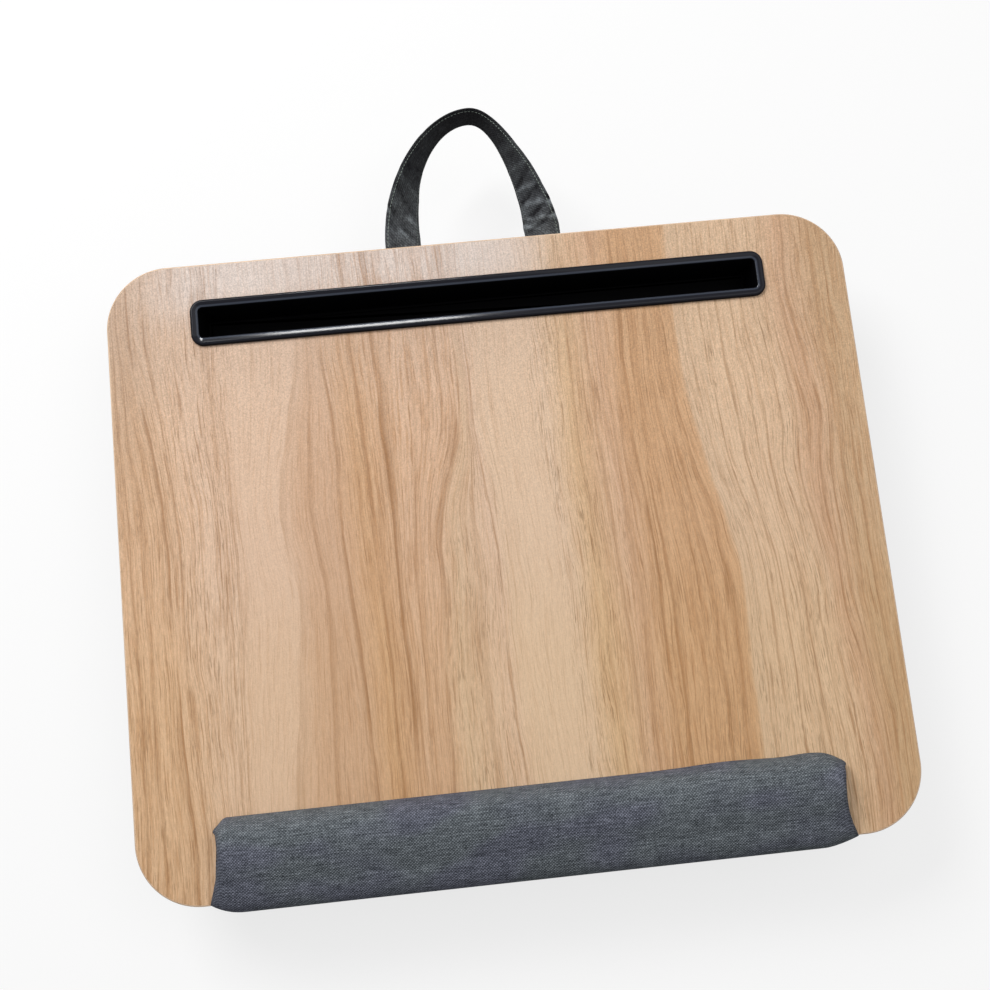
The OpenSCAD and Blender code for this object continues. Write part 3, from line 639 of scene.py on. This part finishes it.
def wristRest():
    r = rest
    steps = [0, 0.15, 0.5, 1, 1.6, 2.4, 3.4, 4.6, 6, 7.5, 9, 11, 13, 15, 17.5, 20, 22.5, 25, 28, 31, 35]
    fromLeft = [s * mm - r["half"] for s in steps]
    fromRight = [r["half"] - s * mm for s in reversed(steps)]
    count = 84
    between = [fromLeft[-1] + (fromRight[0] - fromLeft[-1]) * i / count for i in range(1, count)]
    share = [0, 0.0008, 0.004, 0.012, 0.025, 0.045, 0.07, 0.10, 0.135, 0.17]
    share += [0.17 + 0.66 * i / 26 for i in range(1, 27)]
    share += [0.83 + 0.17 * math.sin(math.pi / 2 * i / 14) for i in range(1, 15)]
    wide = r["back"] + r["front"]
    rows = []
    for x in fromLeft + between + fromRight:
        fromEnd = r["half"] - abs(x)
        side = math.copysign(1, x)
        end = r["left"] if x < 0 else r["right"]
        rearCut = cutBack(fromEnd, *end["rear"])
        frontCut = cutBack(fromEnd, *end["front"])
        flare = end["flare"] * max(0, 1 - fromEnd / r["flareLong"]) ** 2
        pull = end["draw"] * max(0, 1 - fromEnd / r["drawLong"])
        row = []
        path = [(1 - v, restHeight(v, fromEnd, rearCut / end["rear"][1]) + 0.25 * mm) for v in share]
        nose = r["lip"] * ease(min(1, fromEnd / (3 * mm) + 0.25), 2)
        path += [(0.0, -0.25 * nose), (0.0, -0.55 * nose), (0.006, -0.80 * nose), (0.02, -0.95 * nose),
                 (0.045, -nose), (r["front"] / wide - 0.006, -nose), (r["front"] / wide - 0.003, -0.5 * nose),
                 (r["front"] / wide - 0.003, 0.1 * mm), (r["front"] / wide + 0.2, 0.1 * mm), (0.9, 0.1 * mm)]
        for v, z in path:
            y = -r["front"] + v * wide
            y += frontCut * max(0, 1 - 2 * v) - rearCut * max(0, 2 * v - 1)
            nub = end["nub"] * math.exp(-((v - 0.965) / 0.025) ** 2) if fromEnd < 2 * mm else 0
            px = x + side * (flare * max(0, 1 - v / 0.7) ** 2 + nub - pull * math.sin(math.pi * v ** end["drawShape"]))
            y += sum(deep * math.exp(-((x - at) / long) ** 2) for at, deep, long in r["bulges"]) * v ** 3
            p = Vector((px, boardFront + y, boardTop + z))
            if z > 1 * mm:  # slight unevenness of the stuffing, and creases that run in from the ends
                swell = noise.noise(Vector((x / 0.055, y / 0.03, 1.3))) * 0.35 * mm
                pleat = noise.noise(Vector((x / 0.020, y / 0.006 + x / 0.03, 5.1)))
                near = max(0.0, 1 - fromEnd / (26 * mm)) ** 1.5
                p.z += (swell + pleat * near * 0.45 * mm) * min(1, z / (6 * mm))
            row.append(p)
        rows.append(row)
    piece = addPiece("wristRestCushion", gridMesh("wristRestCushion", rows, capped=True), heatherWeave,
                     replaced=["wrist_rest_cover", "wrist_rest_foam"], angle=60)
    # flap turned under the board
    flapHalf = r["half"] - r["flapIn"]
    flapRows = []
    for i in range(69):
        x = -flapHalf + 2 * flapHalf * i / 68
        hem = 0.5 * mm * noise.noise(Vector((x / 0.018, 3.3, 0.2)))
        back = boardFront + r["flap"] - 0.4 * mm + hem
        under = boardTop - r["lip"]
        front = boardFront - 1.2 * mm
        over = boardUnder - 0.05 * mm
        flapRows.append([Vector((x, y, z)) for y, z in [
            (front, under), (boardFront + 4 * mm, under + 0.1 * mm), (back - 0.6 * mm, under + 0.15 * mm),
            (back, under + 0.5 * mm), (back - 0.4 * mm, over), (boardFront + 4 * mm, over), (front, over)]])
    addPiece("wristRestFlap", gridMesh("wristRestFlap", flapRows, capped=True), heatherWeave,
             angle=50)
    return piece


wristRest()
print("wrist rest done")


# ---- strap handle

strap = {"wide": 19.5 * mm, "thick": 2.2 * mm, "span": 77 * mm, "reach": 74 * mm, "lean": 4 * mm,
         "flatUntil": 0.06, "turnLeft": 0.8, "turnRight": 0.6, "straighten": 9.5 * mm, "stitchIn": 1.3 * mm,
         "stitch": 1.7 * mm, "stitchGap": 0.3 * mm, "thread": 0.5 * mm, "crease": 1.0,
         # creases across each leg: distance from the board, slant, height, half width, all but the slant in mm
         "creasesRight": [(3.5, -0.5, 1.3, 1.4), (7.5, 0.5, -1.0, 1.2), (11, -0.2, 1.2, 1.3), (15, 0.4, -1.3, 1.5),
                          (19.5, -0.3, 1.4, 1.5), (25, 0.25, -1.2, 1.6), (29.5, -0.3, 1.1, 1.5), (36, 0.3, -1.0, 2.0),
                          (43, -0.2, 0.7, 1.8), (55, -0.3, 0.7, 2.6)],
         "creasesLeft": [(4, 0.9, 0.6, 1.3), (9, 1.2, 0.9, 1.0), (13, 1.1, -0.8, 1.5), (19, 0.6, 0.8, 1.2),
                         (27, 0.9, -0.6, 1.8), (36, 0.5, 0.7, 1.6), (47, -0.4, -0.6, 2.2), (62, 0.3, 0.6, 2.0)]}
strapHinge = Vector(frame["joints"][0]["pos_m"])
tailLow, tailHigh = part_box("handle_tails")


def strapFrame(t, tail):
    # t runs over the strap: below 0 the right tail, 0 to 180 the loop, above that the left tail
    s = strap
    if t < 0 or t > 180:
        side = 1 if t < 0 else -1
        back = -t if t < 0 else t - 180
        return Vector((side * s["span"] / 2, -back, 0)), Vector((side, 0, 0)), Vector((0, 0, 1))

    def middle(u):
        a = math.radians(u)
        x = s["span"] / 2 * math.cos(a) + s["lean"] * math.sin(a) ** 3
        x -= s["straighten"] * max(0, math.cos(a)) * max(0, math.sin(a)) ** 1.5
        return Vector((x, s["reach"] * math.sin(a), 0))
    ahead = (middle(t + 0.5) - middle(t - 0.5)).normalized()
    out = Vector((ahead.y, -ahead.x, 0))
    rise = max(0.0, math.sin(math.radians(t)) - s["flatUntil"]) / (1 - s["flatUntil"])
    turn = math.radians(90 * rise ** (s["turnRight"] if t < 90 else s["turnLeft"]))
    up = Vector((0, 0, 1))
    return (middle(t), out * math.cos(turn) + up * math.sin(turn), up * math.cos(turn) - out * math.sin(turn))


def strapHandle():
    s = strap
    tail = strapHinge.y - tailLow.y
    stations = []
    steps = 18
    stations += [-tail * (1 - i / steps) for i in range(steps)]
    count = 190
    stations += [180 * i / count for i in range(count + 1)]
    stations += [180 + tail * (i + 1) / steps for i in range(steps)]
    # section: edges puffed outside the stitch lines, dipped at the stitches
    half = s["wide"] / 2
    thin = s["thick"] / 2
    profile = []
    across = [-1 + 2 * i / 24 for i in range(25)]
    for q in across:
        fromEdge = (1 - abs(q)) * half
        dip = 0.34 * math.exp(-((fromEdge - s["stitchIn"]) / (0.55 * mm)) ** 2)
        full = ease(fromEdge / (1.3 * mm), 2) * (0.86 - dip + 0.10 * math.exp(-(fromEdge / (2 * mm)) ** 2))
        profile.append((q * half, thin * full))
    section = profile + [(x, -z) for x, z in reversed(profile[1:-1])]
    rows = []
    foldLightAndShade = []
    centres = [strapFrame(t, tail)[0] for t in stations]
    total = sum((b - a).length for a, b in zip(centres, centres[1:]))
    length = 0.0
    last = None
    rails = {k: [] for k in ("outer", "inner")}
    for t in stations:
        centre, wide, top = strapFrame(t, tail)
        length += (centre - last).length if last else 0
        last = centre
        tailed = t < 0 or t > 180
        bow = 0.0 if tailed else math.sin(math.radians(t))
        loose = min(1, bow / 0.10) * (1 - 0.75 * bow)
        row = []
        for a, b in section:
            fold = noise.noise(Vector((length / 0.026 - a / 0.03, a / 0.05, 7.7)))
            root = length - tail if t < 90 else total - tail - length
            lift = 0.0
            for place, slant, high, wideness in (s["creasesRight"] if t < 90 else s["creasesLeft"]):
                off = (root / mm - place - slant * a / mm + 1.5 * fold) / wideness
                fade = 0.45 + 1.3 * noise.noise(Vector((a / 0.006, place, 3.3)))
                lift += s["crease"] * high * mm * math.exp(-off * off) * max(0.1, min(1.0, fade + 0.3))
            # painted highlight on crease ridges, painted shade in their valleys and over the top of the loop, kept for
            # the strap's colour
            foldLightAndShade.append(max(-1.0, min(1.0, loose * lift / mm)) - 0.75 * bow ** 2)
            lift = loose * (lift + fold * 0.9 * mm) * (1 - 0.65 * abs(a / half) ** 3)
            wobble = loose * noise.noise(Vector((length / 0.012, 0.3 if a > 0 else 4.1, 0.5))) * 0.6 * mm
            row.append(centre + strapHinge + wide * (a + wobble * abs(a) / half) + top * (b + lift))
        rows.append(row)
        if not tailed:
            for rail, sign in (("outer", 1), ("inner", -1)):
                k = min(range(25), key=lambda j: abs(section[j][0] - sign * (half - s["stitchIn"])))
                under = section.index((section[k][0], -section[k][1])) if k not in (0, 24) else k
                rails[rail].append((row[k], row[under]))
    mesh = gridMesh("strapHandle", rows, capped=True)
    mesh.attributes.new("fold", "FLOAT", "POINT").data.foreach_set("value", foldLightAndShade)
    piece = addPiece("strapHandle", mesh, strapWeave, body=None,
                     replaced=["handle_strap", "handle_tails"], angle=60)
    return piece, rails


def stitchMesh(name, rails):
    s = strap
    points = []
    faces = []
    for rail in rails:
        for face in (0, 1):
            line = [pair[face] for pair in rail]
            other = [pair[1 - face] for pair in rail]
            runs = [0.0]
            for a, b in zip(line, line[1:]):
                runs.append(runs[-1] + (b - a).length)

            def at(d):
                k = max(i for i in range(len(runs)) if runs[i] <= d or i == 0)
                k = min(k, len(line) - 2)
                f = (d - runs[k]) / (runs[k + 1] - runs[k])
                return line[k].lerp(line[k + 1], f), (line[k] - other[k]).normalized()
            d = 0.4 * mm
            while d + s["stitch"] < runs[-1]:
                base = len(points)
                for e, fat, up in ((0, 0.25, -0.2), (0.15, 0.8, 0.25), (0.5, 1, 0.42), (0.85, 0.8, 0.25),
                                   (1, 0.25, -0.2)):
                    centre, normal = at(d + e * s["stitch"])
                    ahead = (at(d + min(1, e + 0.1) * s["stitch"])[0]
                             - at(d + max(0, e - 0.1) * s["stitch"])[0]).normalized()
                    side = ahead.cross(normal).normalized()
                    for q in range(6):
                        a = math.pi * q / 3
                        r = s["thread"] / 2 * fat
                        points.append(centre + normal * (up * s["thread"] + r * math.sin(a)) + side * r * math.cos(a))
                for i in range(4):
                    for q in range(6):
                        faces.append([base + i * 6 + q, base + i * 6 + (q + 1) % 6,
                                      base + (i + 1) * 6 + (q + 1) % 6, base + (i + 1) * 6 + q])
                faces.append([base + q for q in range(6)])
                faces.append([base + 24 + q for q in range(6)])
                d += s["stitch"] + s["stitchGap"]
    mesh = bpy.data.meshes.new(name)
    mesh.from_pydata(points, [], faces)
    return mesh


strapPiece, strapRails = strapHandle()
outerSeam = addPiece("strapOuterSeam", stitchMesh("strapOuterSeam", [strapRails["outer"]]), edgeThread,
                     body=None, angle=60)
innerSeam = addPiece("strapInnerSeam", stitchMesh("strapInnerSeam", [strapRails["inner"]]), innerThread,
                     body=None, angle=60)
for piece in (strapPiece, outerSeam, innerSeam):
    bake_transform(piece)
print("strap done")


# ---- cushion: panel, piping, two stuffed bolsters, tape between them

cushion = {"voxel": 5 * mm, "frames": 20, "pressure": 4.0, "cap": 5 * mm, "shrink": 2.2 * mm,
           "swell": 4 * mm, "radius": 20 * mm, "belly": 0.55, "pucker": 0.9 * mm}


def bolsterRing(halfWide, halfDeep, radius, swell, z, turns=6, pitch=0.008):
    rows = sweepRound([(0, 0)], halfWide, halfDeep, radius, turns, pitch)
    ring = []
    for p in (row[0] for row in rows):
        ring.append(Vector((p.x * (1 + swell / halfWide * (1 - (p.y / halfDeep) ** 2)),
                            p.y * (1 + swell / halfDeep * (1 - (p.x / halfWide) ** 2)), z)))
    return ring


def bolsterShell(low, high, shrink):
    tall = high.z
    swell = cushion["swell"]
    halfWide = (high.x - low.x) / 2 - swell - shrink
    halfDeep = (high.y - low.y) / 2 - swell - shrink
    belly = cushion["belly"] * tall
    tuck = 0.66 * halfDeep
    rings = []
    for q in range(0, 91, 9):
        a = math.radians(q)
        inset = tuck * (1 - math.sin(a))
        rings.append((halfWide - inset, halfDeep - inset, min(cushion["radius"], halfDeep - inset - 1 * mm),
                      swell * math.sin(a), belly + (shrink - belly) * math.cos(a)))
    for k in range(1, 7):
        v = k / 6
        rings.append((halfWide, halfDeep, cushion["radius"], swell * math.cos(math.radians(90 * v)),
                      belly + (tall - shrink - belly) * v))
    # every ring gets as many points as the first one by even spacing
    count = 180
    rows = []
    for halfW, halfD, radius, out, z in rings:
        ring = bolsterRing(halfW, halfD, radius, out, z)
        runs = [0.0]
        for a, b in zip(ring, ring[1:] + ring[:1]):
            runs.append(runs[-1] + (b - a).length)
        row = []
        k = 0
        for i in range(count):
            d = runs[-1] * i / count
            while runs[k + 1] < d:
                k += 1
            row.append(ring[k].lerp(ring[(k + 1) % len(ring)], (d - runs[k]) / (runs[k + 1] - runs[k])))
        rows.append(row)
    return rows


def stuffed(name, rows, centre, floorZ, topZ, hollow=None):
    mesh = gridMesh(name, rows, capped=True)
    tidyMesh(mesh)
    work = bpy.data.objects.new(name + "Work", mesh)
    bpy.context.scene.collection.objects.link(work)
    remesh = work.modifiers.new("even", "REMESH")
    remesh.mode = "VOXEL"
    remesh.voxel_size = cushion["voxel"]
    graph = bpy.context.evaluated_depsgraph_get()
    even = bpy.data.meshes.new_from_object(work.evaluated_get(graph))
    work.modifiers.clear()
    work.data = even
    start = [v.co.copy() for v in even.vertices]
    blown = work.modifiers.new("blown", "CLOTH")
    blown.settings.quality = 5
    blown.settings.use_pressure = True
    blown.settings.uniform_pressure_force = cushion["pressure"]
    blown.settings.effector_weights.gravity = 0
    blown.point_cache.frame_start = 1
    blown.point_cache.frame_end = cushion["frames"]
    for step in range(1, cushion["frames"] + 1):
        bpy.context.scene.frame_set(step)
    graph = bpy.context.evaluated_depsgraph_get()
    swollen = work.evaluated_get(graph).to_mesh()
    for vertex, before, after in zip(even.vertices, start, swollen.vertices):
        shift = after.co - before
        reach = min(shift.length, cushion["cap"])
        vertex.co = before + (shift.normalized() * reach if shift.length > 1e-9 else Vector())
    work.modifiers.clear()
    for vertex in even.vertices:
        co = vertex.co + centre
        # gathers that hang from the sewn top edge, and a loose hand-stuffed unevenness
        round_ = math.atan2(co.y - centre.y, (co.x - centre.x) * 0.38)
        near = max(0.0, 1 - (topZ - co.z) / (20 * mm)) ** 1.4
        out = Vector((co.x - centre.x, (co.y - centre.y) * 2.4, 0)).normalized()
        gather = noise.noise(Vector((co.x / 0.011, co.y / 0.011, 4.4 + round_ * 0.2)))
        lump = noise.noise(Vector((co.x / 0.05, co.y / 0.05, co.z / 0.03)))
        co += out * (gather * near * cushion["pucker"] * 1.6 + lump * 1.1 * mm)
        co.z = max(floorZ, min(topZ, co.z))
        if hollow and abs(co.x) < hollow[0] and hollow[1] < co.y < hollow[2]:
            co.z = min(co.z, hollow[3])
        vertex.co = co
    bpy.data.objects.remove(work)
    return even


panelLow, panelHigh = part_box("cushion_top_panel")
trayLow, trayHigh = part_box("slot_tray")
for side, node in (("front", "front_bolster"), ("rear", "rear_bolster")):
    low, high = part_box(node + "_cover")
    rows = bolsterShell(low, high, cushion["shrink"])
    centre = Vector(((low.x + high.x) / 2, (low.y + high.y) / 2, 0))
    hollow = None
    if side == "rear":
        hollow = (156 * mm, trayLow.y - 2 * mm, trayHigh.y + 2 * mm, trayLow.z - 1 * mm)
    mesh = stuffed(side + "Bolster", rows, centre, 0.0, panelLow.z - 0.1 * mm, hollow)
    piece = addPiece(side + "Bolster", mesh, cushionWeave,
                     replaced=[node + "_cover", node + "_fill"], angle=80)
    smooth = piece.modifiers.new("smooth", "SUBSURF")
    smooth.levels = smooth.render_levels = 1
    print(side, "bolster done with", len(mesh.vertices), "points")


def roundedCopy(name, node, width, segments):
    mesh = nodes[node].data.copy()
    mesh.name = name
    work = bmesh.new()
    work.from_mesh(mesh)
    bmesh.ops.remove_doubles(work, verts=work.verts, dist=0.00001)
    bmesh.ops.dissolve_limit(work, angle_limit=math.radians(1), verts=work.verts, edges=work.edges)
    edges = [e for e in work.edges if len(e.link_faces) == 2 and e.calc_face_angle() > math.radians(60)]
    bmesh.ops.bevel(work, geom=edges, offset=width, segments=segments, profile=0.5, affect="EDGES",
                    clamp_overlap=True)
    work.to_mesh(mesh)
    work.free()
    return mesh


panel = addPiece("cushionPanel", roundedCopy("cushionPanel", "cushion_top_panel", 0.15 * mm, 2), cushionWeave,
                 replaced=["cushion_top_panel"])

pipeLow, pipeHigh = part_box("cushion_piping")
pipeHalf = (pipeHigh.z - pipeLow.z) / 2
pipeRows = sweepRound(arcPoints((0, 0), pipeHalf, 0, 360 - 360 / 14, 13), pipeHigh.x - pipeHalf,
                      (pipeHigh.y - pipeLow.y) / 2 - pipeHalf, 23 * mm, 16, 0.004)
pipeRows = moved(pipeRows, Vector((0, (pipeHigh.y + pipeLow.y) / 2, (pipeHigh.z + pipeLow.z) / 2)))
for row in pipeRows:
    middle = sum(row, Vector()) / len(row)
    for p in row:
        p += (p - middle) * 0.10 * noise.noise(p / 0.004)
addPiece("cushionPiping", gridMesh("cushionPiping", pipeRows, loop=True), pipingWeave,
         replaced=["cushion_piping"], angle=80)

addPiece("valleyTape", roundedCopy("valleyTape", "valley_seam", 0.3 * mm, 2), pipingWeave,
         replaced=["valley_seam"])
for name in ("wrist_rest_staples", "cushion_staples", "handle_staples"):
    nodes[name].data.materials.clear()
    nodes[name].data.materials.append(stapleWire)
print("cushion done")


# ---- floor, light and camera

light = {"room": 0.22, "glow": 0.75, "window": 23, "ceiling": 8.5, "card": 9, "bounce": 0.4,
         "fadeFrom": 0.35, "fadeTo": 1.1}

def stageFloor():
    f = Finish("floorFinish")
    paper = f.add("BsdfDiffuse", sockets={"Color": f.mix(f.looked(), [light["bounce"]] * 3 + [1], [0.95] * 3 + [1])})
    bright = f.add("Emission", sockets={"Color": (1, 1, 1, 1), "Strength": 1})
    x, y, z = f.axes(f.place())
    far = f.step((x * x + y * y) ** 0.5, light["fadeFrom"], light["fadeTo"])
    glow = light["glow"] + far * (1 - light["glow"])
    whole = f.add("MixShader", sockets={0: f.looked() * glow, 1: paper, 2: bright})
    f.add("OutputMaterial", sockets={0: whole})
    mesh = bpy.data.meshes.new("floor")
    reach = 6.0
    mesh.from_pydata([(-reach, -reach, 0), (reach, -reach, 0), (reach, reach, 0), (-reach, reach, 0)], [],
                     [(0, 1, 2, 3)])
    mesh.materials.append(f.material)
    floor = bpy.data.objects.new("floor", mesh)
    bpy.context.scene.collection.objects.link(floor)


def addLamp(name, place, aim, wide, deep, watts):
    data = bpy.data.lights.new(name, "AREA")
    data.shape = "RECTANGLE"
    data.size = wide
    data.size_y = deep
    data.energy = watts
    lamp = bpy.data.objects.new(name, data)
    lamp.location = place
    lamp.rotation_euler = (Vector(aim) - Vector(place)).to_track_quat("-Z", "Y").to_euler()
    bpy.context.scene.collection.objects.link(lamp)
    return lamp


stageFloor()
addLamp("windowLeft", (-0.75, 0.95, 1.35), (0, 0, 0.05), 0.9, 0.7, light["window"])
addLamp("ceilingFill", (0.6, 0.3, 1.7), (0, 0, 0.05), 1.4, 1.2, light["ceiling"])
card = addLamp("rimCard", (-0.104, 0.939, 0.833), (-0.06, 0.088, 0.06), 0.26, 0.13, light["card"])
card.visible_diffuse = False

studio = Finish("studio", bpy.data.worlds)
dim = studio.add("Background", sockets={"Color": (1, 1, 1, 1), "Strength": light["room"]})
white = studio.add("Background", sockets={"Color": (1, 1, 1, 1), "Strength": 1})
studio.add("OutputWorld", sockets={0: studio.add("MixShader", sockets={0: studio.looked(), 1: dim, 2: white})})
bpy.context.scene.world = studio.material

view = bpy.data.cameras.new("view")
view.lens = 46.926
view.sensor_width = 36
camera = bpy.data.objects.new("view", view)
camera.location = (-0.033061, -0.126272, 0.727353)
camera.rotation_euler = [math.radians(a) for a in (9.95808, -1.55856, -5.88943)]
bpy.context.scene.collection.objects.link(camera)
bpy.context.scene.camera = camera
bpy.context.scene.view_settings.view_transform = "Standard"
print("stage done")
